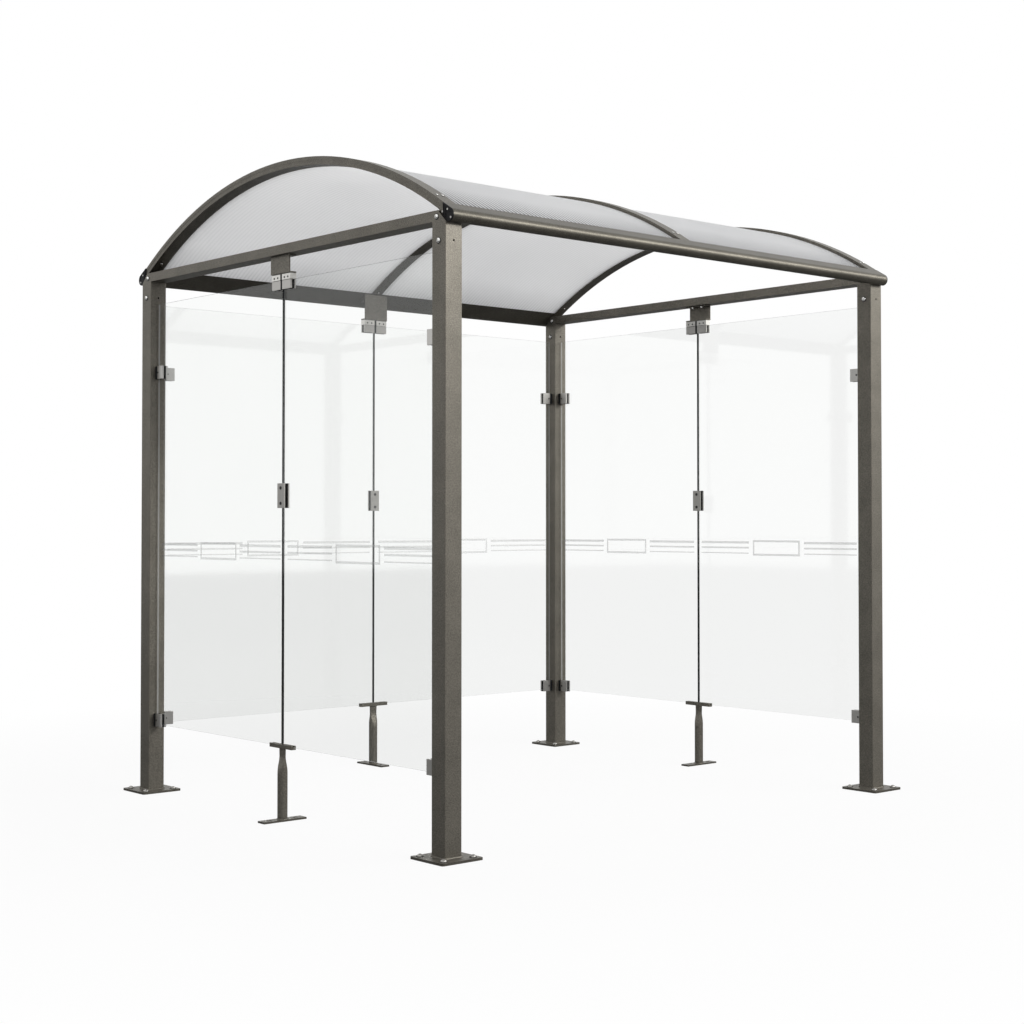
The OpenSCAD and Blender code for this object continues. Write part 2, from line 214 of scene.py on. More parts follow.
def roof_sheet(name, eave_shade_range, rib_floor, through, surface, share):
    """Translucent multiwall sheet: its ribs run along the curve.

    The ribs grow from rib_floor to full strength over a range of |Y| towards the eaves: the inner walls are
    real, but the ribs' extra darkness near the eaves is painted shade.
    through and surface are the colour stops of the light let through and
    of the surface, and share is the part of the light let through.
    """
    m, nt = new_mat(name)
    axes = obj_axes(nt)
    phase = math_node(nt, "FRACT", math_node(nt, "MULTIPLY_ADD", axes["X"], RIBS_PER_M, 100.0))
    rib = math_node(nt, "ABSOLUTE", math_node(nt, "SUBTRACT", phase, 0.5))
    # Painted shade: this mask makes the ribs darker towards the eaves.
    strength = map_range(nt, math_node(nt, "ABSOLUTE", axes["Y"]), eave_shade_range, (rib_floor, 1.0))

    grey = [(0.0, (0, 0, 0)), (0.10, (0.2, 0.2, 0.2)), (0.30, (0.9, 0.9, 0.9)), (0.5, (1, 1, 1))]
    rib_and_eave_shade = math_node(nt, "MULTIPLY", strength, math_node(nt, "SUBTRACT", 1.0, ramp(nt, rib, grey)))
    haze = noise(nt, 1.6, 2, 0.5)
    tone = math_node(nt, "MULTIPLY_ADD", haze, 0.30, math_node(nt, "MULTIPLY", rib_and_eave_shade, 0.62))
    t = node(nt, "BsdfTranslucent")
    nt.links.new(ramp(nt, tone, through), t.inputs["Color"])

    wide = math_node(nt, "SUBTRACT", 1.0, math_node(nt, "MULTIPLY", rib, 2.2))
    p = node(nt, "BsdfPrincipled", Roughness=0.35, Specular_IOR_Level=0.15)
    nt.links.new(ramp(nt, math_node(nt, "MULTIPLY", strength, wide), surface), p.inputs["Base Color"])
    nt.links.new(bump(nt, rib, 0.2, 0.002), p.inputs["Normal"])
    to_output(nt, mix_shader(nt, share, p, t))
    return m


def pane_glass():
    """Clear pane: a thin mirror share over a very faint green-grey tint."""
    m, nt = new_mat("pane_glass")
    p = node(nt, "BsdfPrincipled", Roughness=0.04, Metallic=1.0)
    stops = [(0.3, (0.90, 0.92, 0.91)), (0.7, (0.96, 0.97, 0.965))]
    nt.links.new(ramp(nt, noise(nt, 2.2, 2, 0.5), stops), p.inputs["Base Color"])
    clear = node(nt, "BsdfTransparent", Color=(0.984, 0.987, 0.984, 1))
    to_output(nt, mix_shader(nt, 0.05, clear, p))
    return m


def frosted(name, share):
    """Satin white grain over clear glass; share is how dense it is."""
    m, nt = new_mat(name)
    p = node(nt, "BsdfPrincipled", Roughness=0.6)
    stops = [(0.3, (0.74, 0.75, 0.75)), (0.7, (0.86, 0.87, 0.87))]
    nt.links.new(ramp(nt, noise(nt, 700, 2, 0.5), stops), p.inputs["Base Color"])
    to_output(nt, mix_shader(nt, share, node(nt, "BsdfTransparent"), p))
    return m


PAINT = paint("frame_powder_coat", (0.205, 0.191, 0.163), 0.5)
# Painted shade: the arches and eaves wear the frame's powder coat, and these two copies of it are darker
# and more metallic to paint shade on the roof frame.
ROOF_PAINT_SHADED = paint("roof_frame_powder_coat_shaded", (0.155, 0.145, 0.124), 0.7)
EAVE_PAINT_SHADED = paint("eave_powder_coat_shaded", (0.122, 0.114, 0.096), 0.75)
# Painted shade in both sheets: their ribs darken towards the eaves over the range given second.
SHEET = roof_sheet(
    "roof_sheet_multiwall", (0.98, 1.11), 0.42,
    [(0.08, (0.985, 0.985, 0.983)), (0.5, (0.93, 0.93, 0.93)), (0.95, (0.66, 0.663, 0.67))],
    [(0.0, (0.56, 0.565, 0.58)), (1.0, (0.10, 0.11, 0.12))], 0.78)
SHEET_TOP = roof_sheet(
    "roof_sheet_outer_skin", (0.88, 1.09), 0.24,
    [(0.08, (0.985, 0.985, 0.985)), (0.28, (0.93, 0.93, 0.935)), (0.75, (0.14, 0.145, 0.15))],
    [(0.0, (0.50, 0.51, 0.54)), (1.0, (0.02, 0.022, 0.024))], 0.72)
GLASS = pane_glass()
FILM = frosted("frosted_band", 0.21)
GLASS_EDGE = frosted("glass_ground_edge", 0.50)
STEEL = steel("stainless_satin", (0.44, 0.43, 0.41))
# Painted light: a lighter copy of the satin stainless, for the heads of the top clips.
LIT_STEEL = steel("stainless_lit_copy", (0.66, 0.65, 0.62))
MID_STEEL = steel("stainless_mid", (0.52, 0.51, 0.49))
# Painted shade: a darker copy of the satin stainless, for the joint clamps.
SHADED_STEEL = steel("stainless_shaded_copy", (0.38, 0.372, 0.355), 0.34)
BOLT = steel("stainless_bolt", (0.90, 0.90, 0.88), 0.16)
ANCHOR = steel("anchor_bolt_steel", (0.38, 0.37, 0.35), 0.2)
BLACK = dull("black_moulding", (0.012, 0.012, 0.013), 0.42)
RUBBER = dull("dark_rubber", (0.022, 0.023, 0.024), 0.62)
DARK_SCREW = dull("dark_screw", (0.05, 0.05, 0.05), 0.35)
# Painted shade: near black on the inner faces of the post tubes, where light doesn't reach.
TUBE_INSIDE_SHADE = dull("tube_inside_painted_shade", (0.012, 0.011, 0.010), 0.8, 0.05)

JAW, LINER, SCREW, LIT_HEAD = range(4)      # material slots of clips and clamps


# ---------------------------------------------------------------- mesh helpers
def box(bm, lo, hi, mat=0, m=None):
    corners = []
    for x in (lo[0], hi[0]):
        for y in (lo[1], hi[1]):
            for z in (lo[2], hi[2]):
                v = Vector((x, y, z))
                corners.append(bm.verts.new(m @ v if m else v))
    for f in ((0, 1, 3, 2), (4, 6, 7, 5), (0, 4, 5, 1), (2, 3, 7, 6), (0, 2, 6, 4), (1, 5, 7, 3)):
        bm.faces.new([corners[i] for i in f]).material_index = mat


def side_box(bm, m, s, xs, ys, zs, mat=0):
    """Box from ranges in X, Y and Z, with Y measured on side s (-1 or 1)."""
    y0, y1 = sorted((s * ys[0], s * ys[1]))
    box(bm, (xs[0], y0, zs[0]), (xs[1], y1, zs[1]), mat, m)


def join_rows(bm, rows, around=True, closed=False, mat=0):
    """Quads between rows of vertices.

    around joins the two ends of each row, closed joins the last row to the first.
    """
    n = len(rows[0])
    following = rows[1:] + rows[:1] if closed else rows[1:]
    for a, b in zip(rows, following):
        for i in range(n if around else n - 1):
            j = (i + 1) % n
            bm.faces.new((a[i], a[j], b[j], b[i])).material_index = mat


def prism(bm, pts, w0, w1, place):
    """Closed prism of a 2D outline; place(u, v, w) gives the 3D point."""
    rows = [[bm.verts.new(place(u, v, w)) for u, v in pts] for w in (w0, w1)]
    join_rows(bm, rows)
    bm.faces.new(rows[0][::-1])
    bm.faces.new(rows[1])


def lathe(bm, prof, m, seg, mat=0):
    """Turns (radius, height) points about local Z of matrix m."""
    rings = []
    for r, h in prof:
        angles = [2 * math.pi * k / seg for k in range(seg if r > 0 else 1)]
        rings.append([bm.verts.new(m @ Vector((r * math.cos(a), r * math.sin(a), h))) for a in angles])
    for a, b in zip(rings, rings[1:]):
        for k in range(seg):
            face = []
            for ring, i in ((a, k), (a, k + 1), (b, k + 1), (b, k)):
                v = ring[i % len(ring)]
                if v not in face:
                    face.append(v)
            if len(face) > 2:
                bm.faces.new(face).material_index = mat


def look(p, d):
    """Matrix with its origin at p and its local Z along d."""
    turn = Vector(d).normalized().to_track_quat("Z", "Y")
    return Matrix.Translation(Vector(p)) @ turn.to_matrix().to_4x4()


def dome_bolt(bm, p, d, r, h, sink=0.001):
    """Domed head of radius r and height h, with a socket and a thin dark ring under it, which is painted
    shade round the dome.
    """
    m = look(p, d)
    # painted shade: a dark ring in slot 1 round the foot of the dome
    shade_ring = [(0, -sink), (r * 1.2, -sink), (r * 1.2, 0.0008)]
    shade_ring += [(r * 1.1, 0.0012), (r * 0.9, 0.0013), (0, 0.0013)]
    lathe(bm, shade_ring, m, 40, 1)
    head = [(0, 0.0012), (r, 0.0012)]
    for k in range(1, 9):
        a = math.pi / 2 * k / 9
        if math.cos(a) > 0.40:
            head.append((r * math.cos(a), 0.0016 + (h - 0.0016) * math.sin(a)))
    head += [(r * 0.40, h * 0.97), (r * 0.34, h * 0.55), (0, h * 0.5)]
    lathe(bm, head, m, 40)


def flat_screw(bm, p, d, r, mat):
    """Countersunk screw with a round recess, a little proud."""
    prof = [(0, -0.001), (r, -0.001), (r, 0.0006), (r * 0.92, 0.0011), (r * 0.45, 0.0012)]
    lathe(bm, prof + [(r * 0.3, 0.0002), (0, 0.0001)], look(p, d), 28, mat)


def side_screw(bm, m, s, x, y, z, r):
    """Countersunk screw on the face at Y = s * y of a clip or clamp."""
    flat_screw(bm, m @ Vector((x, s * y, z)), m.to_3x3() @ Vector((0, s, 0)), r, SCREW)


def hex_nut(bm, p, d, r, h):
    """Hexagon nut with its washer and the end of the bolt."""
    m = look(p, d)
    lathe(bm, [(0, -0.0005), (r * 1.7, -0.0005), (r * 1.7, 0.0022), (r * 1.05, 0.0024), (0, 0.0024)], m, 40)
    lathe(bm, [(0, 0.001), (r * 0.93, 0.001), (r, 0.0022), (r, h * 0.82), (r * 0.9, h), (0, h)], m, 6)
    end = [(0, 0.001), (r * 0.55, 0.001), (r * 0.55, h * 1.25), (r * 0.45, h * 1.35), (0, h * 1.38)]
    lathe(bm, end, m, 24)


def weld_bead(bm, path, root, up=1):
    """Closed bead along (point, outward direction, leg); it reaches root legs inwards."""
    section = ((-root, 1.0), (0.35, 0.85), (0.72, 0.5), (1.0, -0.05))
    rows = []
    for point, outward, leg in path:
        spots = [point + outward * (leg * d) + Vector((0, 0, up * leg * h)) for d, h in section]
        rows.append([bm.verts.new(spot) for spot in spots])
    join_rows(bm, rows, closed=True)


def add_bevel(o, width):
    b = o.modifiers.new("edge", "BEVEL")
    b.width = width
    b.segments = 2
    b.limit_method = "ANGLE"
    b.angle_limit = math.radians(40)
    b.harden_normals = True


def finish_obj(name, bm, mats, bevel=None, replaces=(), smooth=35):
    """Turns bm into a piece on the root body, with its look."""
    bmesh.ops.recalc_face_normals(bm, faces=bm.faces)
    me = bpy.data.meshes.new(name)
    bm.to_mesh(me)
    bm.free()
    o = bpy.data.objects.new(name, me)
    bpy.context.scene.collection.objects.link(o)
    for mat in mats:
        me.materials.append(mat)
    me.shade_smooth()
    me.set_sharp_from_angle(angle=math.radians(smooth))
    if bevel:
        add_bevel(o, bevel)
    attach(o, "root")
    if replaces:
        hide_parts(*replaces)


# ------------------------------------------------------------- CAD carry-over
CAD_LOOKS = (                           # start of the name, material, edge radius
    ("post_front", PAINT, 0.0006),
    ("post_back", PAINT, 0.0006),
    ("base_plate", PAINT, 0.0012),
    ("tie_beam", PAINT, 0.0015),
    ("hanger", PAINT, 0.001),
    ("foot", PAINT, 0.001),
    # the arches and eaves take the darker copies of the frame paint, which are painted shade
    ("arch", ROOF_PAINT_SHADED, 0.0012),
    ("eave_caps", BLACK, 0.0012),
    ("eave", EAVE_PAINT_SHADED, 0.0008),
    ("roof_panel", SHEET, None),
    ("glass", GLASS, 0.001),
)


def dress(o, mat, bevel):
    """Material, smooth shading and an edge radius for a CAD node."""
    o.data.materials.clear()
    o.data.materials.append(mat)
    o.data.shade_smooth()
    o.data.set_sharp_from_angle(angle=math.radians(30))
    if bevel:
        add_bevel(o, bevel)


def second_material(o, mat, chosen):
    """Gives mat to the faces that chosen picks."""
    o.data.materials.append(mat)
    for f in o.data.polygons:
        f.material_index = 1 if chosen(f) else 0


def in_post(f):
    """Whether a post's face is on the inside of the tube."""
    off = max(abs(abs(f.center.x) - PX), abs(abs(f.center.y) - PY))
    return off < POST / 2 - 0.0035


def dress_cad_nodes():
    for name, o in nodes.items():
        for start, mat, bevel in CAD_LOOKS:
            if name.startswith(start):
                dress(o, mat, bevel)
                break
        # the inner faces of the posts get the painted shade
        if name.startswith(("post_front", "post_back")):
            second_material(o, TUBE_INSIDE_SHADE, in_post)
        if name.startswith("glass"):
            thin = 1 if name.startswith("glass_back") else 0
            second_material(
                o, GLASS_EDGE,
                lambda f: abs(f.normal[thin]) < 0.5 and abs(f.center[1 - thin]) >= 0.02)


# ----------------------------------------------------------------- roof sheets
SHEET_OUT = VAULT_R - 0.014             # outer radius of the sheet
SHEET_T = 0.016
RIB_HALF, RIB_DIP = 0.0026, 0.0004      # groove at each rib: half width, depth
SHEET_ROWS = 56


def sheet_columns(x_lo, x_hi):
    """(x, dip) along the sheet, with three columns to each groove."""
    margin = 0.0005
    columns = [(x_lo, 0.0)]
    for k in range(math.ceil(x_hi * RIBS_PER_M)):
        x = (k + 0.5) / RIBS_PER_M
        for dx, dip in ((-RIB_HALF, 0.0), (0.0, RIB_DIP), (RIB_HALF, 0.0)):
            if x_lo + margin < x + dx < x_hi - margin:
                columns.append((x + dx, dip))
    columns.append((x_hi, 0.0))
    return columns


def roof_sheets():
    lo, hi = box_of("roof_panel_right")
    columns = sheet_columns(lo.x, hi.x)
    for sx, key in ((-1, "left"), (1, "right")):
        bm = bmesh.new()
        skins = []
        for radius, inwards, mat in ((SHEET_OUT, -1, 1), (SHEET_OUT - SHEET_T, 1, 0)):
            end = math.asin(hi.y / radius)
            rows = []
            for j in range(SHEET_ROWS + 1):
                a = end * (2 * j / SHEET_ROWS - 1)
                row = []
                for x, dip in columns:
                    r = radius + inwards * dip
                    row.append(bm.verts.new((sx * x, r * math.sin(a), VAULT_Z + r * math.cos(a))))
                rows.append(row)
            join_rows(bm, rows, around=False, mat=mat)
            skins.append(rows)
        outer, inner = skins
        for i in (0, -1):
            join_rows(bm, [[row[i] for row in outer], [row[i] for row in inner]], around=False)
            join_rows(bm, [outer[i], inner[i]], around=False)
        finish_obj("roof_sheet_" + key, bm, [SHEET, SHEET_TOP], None, ["roof_panel_" + key], 50)


# -------------------------------------------------------------------- end caps
NOSE_Y, NOSE_Z, NOSE_R = 1.145, 2.387, 0.026    # round nose of the eaves
NOSE_FROM, NOSE_TO = -135, 90 - 33.28           # degrees: slanted wall, roof slope
CAP_BACK, CAP_TOP_Z, CAP_LOW_Z = 1.110, 2.4377, 2.3856
CAP_X, CAP_T = 1.3102, 0.0047                   # inner side, thickness


def cap_outline():
    points = [(CAP_BACK, CAP_TOP_Z), (CAP_BACK, CAP_LOW_Z)]
    steps = 24
    for k in range(steps + 1):
        a = math.radians(NOSE_FROM + (NOSE_TO - NOSE_FROM) * k / steps)
        points.append((NOSE_Y + NOSE_R * math.cos(a), NOSE_Z + NOSE_R * math.sin(a)))
    return points


def inset(pts, d):
    """Moves each corner of a counter-clockwise outline inwards by d."""
    out = []
    n = len(pts)
    for i in range(n):
        p, q, r = (Vector(pts[j % n]) for j in (i - 1, i, i + 1))
        e0, e1 = (q - p).normalized(), (r - q).normalized()
        n0, n1 = Vector((-e0.y, e0.x)), Vector((-e1.y, e1.x))
        b = (n0 + n1) / max(0.35, 1 + n0.dot(n1))
        out.append(tuple(q + b * d))
    return out


def eave_caps():
    """Black caps with a rim, a recess, two ribs and three screws each."""
    outline = cap_outline()
    face_x = CAP_X + CAP_T
    floor_x = face_x - 0.0021           # floor of the recess
    for sy, key in ((-1, "front"), (1, "back")):
        bm = bmesh.new()
        for sx in (-1, 1):
            def at(u, v, w):
                return Vector((sx * w, sy * u, v))

            rings = (
                (outline, CAP_X),
                (outline, face_x - 0.0007),
                (inset(outline, 0.0008), face_x),
                (inset(outline, 0.0042), face_x),
                (inset(outline, 0.0050), floor_x),
            )
            loops = [[bm.verts.new(at(u, v, w)) for u, v in pts] for pts, w in rings]
            join_rows(bm, loops)
            bm.faces.new(loops[0][::-1])
            bm.faces.new(loops[-1])
            for u0, u1, v0, v1 in ((1.117, 1.163, 2.3975, 2.4005), (1.1235, 1.1265, 2.374, 2.419)):
                rib = [(u0, v0), (u1, v0), (u1, v1), (u0, v1)]
                prism(bm, rib, floor_x - 0.0002, face_x - 0.0003, at)
            for u, v, w in ((1.1555, 2.3755, floor_x), (1.1360, 2.4080, floor_x), (1.1030, 2.4030, 1.3104)):
                flat_screw(bm, at(u, v, w), (sx, 0, 0), 0.0042, 1)
        mats = [BLACK, MID_STEEL]
        finish_obj("eave_caps_%s_detail" % key, bm, mats, None, ["eave_caps_" + key])


# ------------------------------------------------------------ clips and clamps
JAW_IN, JAW_OUT = 0.006, 0.015          # jaws of the clips, from the glass plane
GLASS_SIDE = PANE_HALF + LIFT
LINER_SIDES = (GLASS_SIDE, JAW_IN + 0.0005)


def clip_block(bm, m, x0, x1):
    """One top clip: a solid head in a lighter copy of the steel, which is painted light, two jaws, rubber
    liners and four screws.
    """
    z0, z1 = clips_lo.z, clips_hi.z
    z_body = GLASS_TOP + 0.001
    d = JAW_OUT
    box(bm, (x0, -d, z_body), (x1, d, z1 - 0.0016), LIT_HEAD, m)
    pad = d - 0.001
    box(bm, (x0 + 0.001, -pad, z1 - 0.002), (x1 - 0.001, pad, z1 - 0.0001), LINER, m)
    middle = (x0 + x1) / 2
    for s in (-1, 1):
        side_box(bm, m, s, (x0, x1), (JAW_IN, d - 0.0012), (z0, z_body - 0.0012), JAW)
        seam = (z_body - 0.003, z_body + 0.001)
        side_box(bm, m, s, (x0 + 0.001, x1 - 0.001), (JAW_IN, d - 0.004), seam, LINER)
        side_box(bm, m, s, (x0, x1), LINER_SIDES, (z0 + 0.0005, z_body + 0.001), LINER)
        for dx in (-0.013, 0.013):
            side_screw(bm, m, s, middle + dx, d, z_body + 0.011, 0.0042)


def top_clips():
    mats = [STEEL, RUBBER, DARK_SCREW, LIT_STEEL]
    for side, m in SIDES.items():
        bm = bmesh.new()
        for s in (-1, 1):
            clip_block(bm, m, *sorted((s * 0.006, s * clips_hi.x)))
        box(bm, (-0.0054, -0.0125, clips_lo.z + 0.002), (0.0054, 0.0125, clips_hi.z - 0.0015), LINER, m)
        finish_obj("top_clips_%s_detail" % side, bm, mats, 0.0008, ["top_clips_" + side])


def joint_clamps():
    """Two plates with rubber liners, screwed together through the joint."""
    x, z0, z1 = clamp_hi.x, clamp_lo.z, clamp_hi.z
    liner_x = x - 0.0007
    mats = [SHADED_STEEL, RUBBER, DARK_SCREW]
    for side, m in SIDES.items():
        bm = bmesh.new()
        for s in (-1, 1):
            side_box(bm, m, s, (-x, x), (0.0075, 0.0140), (z0, z1), JAW)
            liner = (GLASS_SIDE, 0.0077)
            side_box(bm, m, s, (-liner_x, liner_x), liner, (z0 + 0.001, z1 - 0.001), LINER)
            for z in (z0 + 0.0195, z1 - 0.0195):
                side_screw(bm, m, s, 0, 0.0140, z, 0.0075)
        finish_obj("joint_clamp_%s_detail" % side, bm, mats, 0.0008, ["joint_clamp_" + side])


POST_CLAMPS = {                         # point on the post's face, turn in degrees
    "left_front": (-PX, -HY + POST, 90),
    "left_back": (-PX, HY - POST, -90),
    "back_left": (-HX + POST, PY, 0),
    "back_right": (HX - POST, PY, 180),
    "right_back": (PX, HY - POST, -90),
    "right_front": (PX, -HY + POST, 90),
}
POST_CLAMP_Z = (0.302, 1.915)
POST_CLAMP_H = 0.060


def post_clamps():
    """Lower and upper clamp on a post: a dark body at the post's face, two plates and a screw each side."""
    mats = [MID_STEEL, RUBBER, DARK_SCREW]
    for key, (cx, cy, turn) in POST_CLAMPS.items():
        m = Matrix.Translation((cx, cy, 0)) @ Matrix.Rotation(math.radians(turn), 4, "Z")
        bm = bmesh.new()
        for z0 in POST_CLAMP_Z:
            z1 = z0 + POST_CLAMP_H
            body = (z0 + 0.0005, z1 - 0.0005)
            # dark body next to the post's face, in the dark rubber material
            box(bm, (0, -0.0145, body[0]), (0.0095, 0.0145, body[1]), LINER, m)
            for s in (-1, 1):
                side_box(bm, m, s, (0.0165, 0.062), (JAW_IN, JAW_OUT), (z0, z1), JAW)
                side_box(bm, m, s, (0.009, 0.017), (JAW_IN, 0.0146), body, LINER)
                side_box(bm, m, s, (0.0095, 0.0616), LINER_SIDES, body, LINER)
                side_screw(bm, m, s, 0.0245, JAW_OUT, (z0 + z1) / 2, 0.0045)
            if z0 < GLASS_Z:
                box(bm, (0.0095, -JAW_IN, z0), (0.0618, JAW_IN, GLASS_Z - 0.001), LINER, m)
        finish_obj("post_clamps_%s_detail" % key, bm, mats, 0.0008, ["post_clamps_" + key])


def joint_seals():
    """Upright seal in each glass joint: a thin web and lips on both faces."""
    lips = ((foot_top + 0.0025, clamp_lo.z - 0.001), (clamp_hi.z + 0.001, clips_lo.z - 0.0008))
    bm = bmesh.new()
    for m in SIDES.values():
        box(bm, (-0.0015, -0.0036, foot_top + 0.001), (0.0015, 0.0036, GLASS_TOP), 0, m)
        for zs in lips:
            for s in (-1, 1):
                side_box(bm, m, s, (-0.0034, 0.0034), (0.0035, 0.0044), zs)
    finish_obj("joint_seals_detail", bm, [RUBBER], 0.0005, ["joint_seals"])


# --------------------------------------------------------------- feet and welds
TUBE_R = 0.0212
CUT_Z = 0.150                           # the CAD tube is kept below this height
STRIP_TOP, BAR_Z = 0.008, 0.303         # top of the base strip, underside of the bar
BAR_HALF = 0.011


def oval(hx, hy, n, seg=48):
    """Rounded outline between a circle (n = 2) and a flat bar."""
    pts = []
    for k in range(seg):
        a = 2 * math.pi * k / seg
        c, q = math.cos(a), math.sin(a)
        pts.append((hx * math.copysign(abs(c) ** (2 / n), c), hy * math.copysign(abs(q) ** (2 / n), q)))
    return pts


def ease(t):
    t = min(1, max(0, t))
    return t * t * (3 - 2 * t)


def pressed_neck(bm, m):
    """The upper tube, round at the bottom and pressed flat under the bar."""
    z0, z1 = CUT_Z - 0.0005, BAR_Z + 0.0004
    steps = 30
    loops = []
    for k in range(steps + 1):
        z = z0 + (z1 - z0) * k / steps
        t = ease((z - 0.196) / 0.078)
        waist = 0.0012 * math.sin(math.pi * ease((z - 0.22) / 0.075))
        ring = oval(TUBE_R - 0.0012 * t - waist, TUBE_R * (1 - t) + 0.0052 * t, 2 + 2.2 * t)
        loops.append([bm.verts.new(m @ Vector((u, v, z))) for u, v in ring])
    join_rows(bm, loops)
    bm.faces.new(loops[0][::-1])
    bm.faces.new(loops[-1])


def foot_weld(bm, m, rx, ry, z, up):
    """Weld bead round an oval of half sizes rx and ry, above or below height z."""
    steps = 72
    path = []
    for k in range(steps):
        a = 2 * math.pi * k / steps
        outward = Vector((math.cos(a), math.sin(a), 0))
        point = Vector((rx * outward.x, ry * outward.y, z))
        leg = 0.0036 * (1 + 0.10 * math.sin(18 * a))
        path.append((m @ point, m.to_3x3() @ outward, leg))
    weld_bead(bm, path, 0.1, up)


def feet():
    """CAD foot up to CUT_Z, then the neck, the channel for the glass and two welds."""
    b, g, floor_z = BAR_HALF, GLASS_SIDE, GLASS_Z - LIFT
    channel = [(-b, BAR_Z), (b, BAR_Z), (b, foot_top), (g, foot_top)]
    channel += [(g, floor_z), (-g, floor_z), (-g, foot_top), (-b, foot_top)]
    for side, m in SIDES.items():
        bm = bmesh.new()
        bm.from_mesh(nodes["foot_" + side].data)
        everything = bm.verts[:] + bm.edges[:] + bm.faces[:]
        cut = bmesh.ops.bisect_plane(
            bm, geom=everything, dist=1e-6, plane_co=(0, 0, CUT_Z), plane_no=(0, 0, 1), clear_outer=True)
        rim = [e for e in cut["geom_cut"] if isinstance(e, bmesh.types.BMEdge)]
        bmesh.ops.bridge_loops(bm, edges=rim)
        for f in bm.faces:
            f.material_index = 0
        pressed_neck(bm, m)
        prism(bm, channel, -bar_half, bar_half, lambda u, v, w: m @ Vector((w, u, v)))
        foot_weld(bm, m, TUBE_R, TUBE_R, STRIP_TOP, 1)
        foot_weld(bm, m, 0.0198, 0.0050, BAR_Z, -1)
        finish_obj("foot_%s_detail" % side, bm, [PAINT], None, ["foot_" + side])


def square_path(half, radius):
    """Points and outward directions round a square with rounded corners."""
    path = []
    corner_steps, flat_steps = 4, 28
    flat = half - radius
    for q in range(4):
        corner = Vector((flat * (1, -1, -1, 1)[q], flat * (1, 1, -1, -1)[q], 0))
        for k in range(corner_steps + 1):
            a = math.pi / 2 * (q + k / corner_steps)
            d = Vector((math.cos(a), math.sin(a), 0))
            path.append((corner + d * radius, d))
        a = math.pi / 2 * (q + 1)
        n = Vector((math.cos(a), math.sin(a), 0))
        along = Vector((-n.y, n.x, 0))
        for k in range(1, flat_steps):
            path.append((n * half + along * (flat * (2 * k / flat_steps - 1)), n))
    return path


def post_welds():
    bm = bmesh.new()
    outline = square_path(POST / 2, 0.003)
    for sx in (-1, 1):
        for sy in (-1, 1):
            foot = Vector((sx * PX, sy * PY, PLATE_TOP))
            path = []
            for k, (point, outward) in enumerate(outline):
                path.append((foot + point, outward, 0.0048 * (1 + 0.10 * math.sin(2.2 * k))))
            weld_bead(bm, path, 0.08)
    finish_obj("post_welds", bm, [PAINT])


# ----------------------------------------------------------------------- bolts
ARCH_X, ARCH_H = 1.280, 0.034           # centre of the end arches, depth of their section
ANCHOR_HALF = 0.070                     # half the pitch of the anchor bolts


def vault_height(y, radius):
    return VAULT_Z + math.sqrt(radius ** 2 - y ** 2)


def frame_bolts():
    """Bolts of posts and beams, screws on and under the arches, nuts of the end hangers."""
    bm = bmesh.new()
    for sx in (-1, 1):
        for sy in (-1, 1):
            x = sx * PX - POST / 2
            dome_bolt(bm, (x, sy * PY, TOP - 0.074), (-1, 0, 0), 0.0105, 0.007)
            dome_bolt(bm, (x, sy * (HY - 0.052), TOP + 0.016), (-1, 0, 0), 0.0100, 0.007)
    for sx in (-1, 0, 1):
        for sy in (-1, 1):
            y = sy * 1.048
            z = vault_height(y, VAULT_R)
            for dx in (-0.012, 0.014):
                dome_bolt(bm, (sx * ARCH_X + dx, y, z), (0, y, z - VAULT_Z), 0.0048, 0.0035, 0.002)
            y = sy * (1.052 if sx == 0 else 1.020)
            z = vault_height(y, VAULT_R - ARCH_H)
            dome_bolt(bm, (sx * ARCH_X, y, z), (0, -y, VAULT_Z - z), 0.0055, 0.0045)
    for side in ("left", "right"):
        for dx in (-0.030, 0.030):
            hex_nut(bm, SIDES[side] @ Vector((dx, 0.004, TOP - 0.005)), (0, 0, -1), 0.0060, 0.0055)
    finish_obj("dome_bolts", bm, [BOLT, RUBBER])


def anchor_bolts():
    bm = bmesh.new()
    for sx in (-1, 1):
        for sy in (-1, 1):
            for ax in (-ANCHOR_HALF, ANCHOR_HALF):
                for ay in (-ANCHOR_HALF, ANCHOR_HALF):
                    place = (sx * PX + ax, sy * PY + ay, PLATE_TOP)
                    dome_bolt(bm, place, (0, 0, 1), 0.0122, 0.0098)
    finish_obj("anchor_bolts", bm, [ANCHOR, RUBBER])


# --------------------------------------------------------------- frosted bands
BANDS = ((1.1475, 0.0115), (1.1210, 0.0085), (1.0935, 0.0055))     # middle height, width
FRAME_HALF, FRAME_LINE = 0.150, 0.010
FRAME_LOW, FRAME_TOP = 1.0820, 1.1595
FILM_T = 0.0003


def frosted_bands():
    """Three bands on each pane, with a plain open frame in the middle."""
    film_from = PANE_HALF + 0.0001
    film = (film_from, film_from + FILM_T)
    low, top = FRAME_LOW + FRAME_LINE, FRAME_TOP - FRAME_LINE
    bm = bmesh.new()
    for side, m in SIDES.items():
        end = (HX if side == "back" else HY) - POST - 0.010     # outer edge of the pane
        c = (end + 0.004) / 2
        x0, x1 = c - FRAME_HALF, c + FRAME_HALF
        bars = [
            (x0, x1, top, FRAME_TOP),
            (x0, x1, FRAME_LOW, low),
            (x0, x0 + FRAME_LINE, low, top),
            (x1 - FRAME_LINE, x1, low, top),
        ]
        for z, width in BANDS:
            for u0, u1 in ((0.026, c - 0.176), (c + 0.176, end - 0.024)):
                bars.append((u0, u1, z - width / 2, z + width / 2))
        for s in (-1, 1):
            for u0, u1, z0, z1 in bars:
                side_box(bm, m, 1, sorted((s * u0, s * u1)), film, (z0, z1))
    finish_obj("frosted_bands", bm, [FILM])


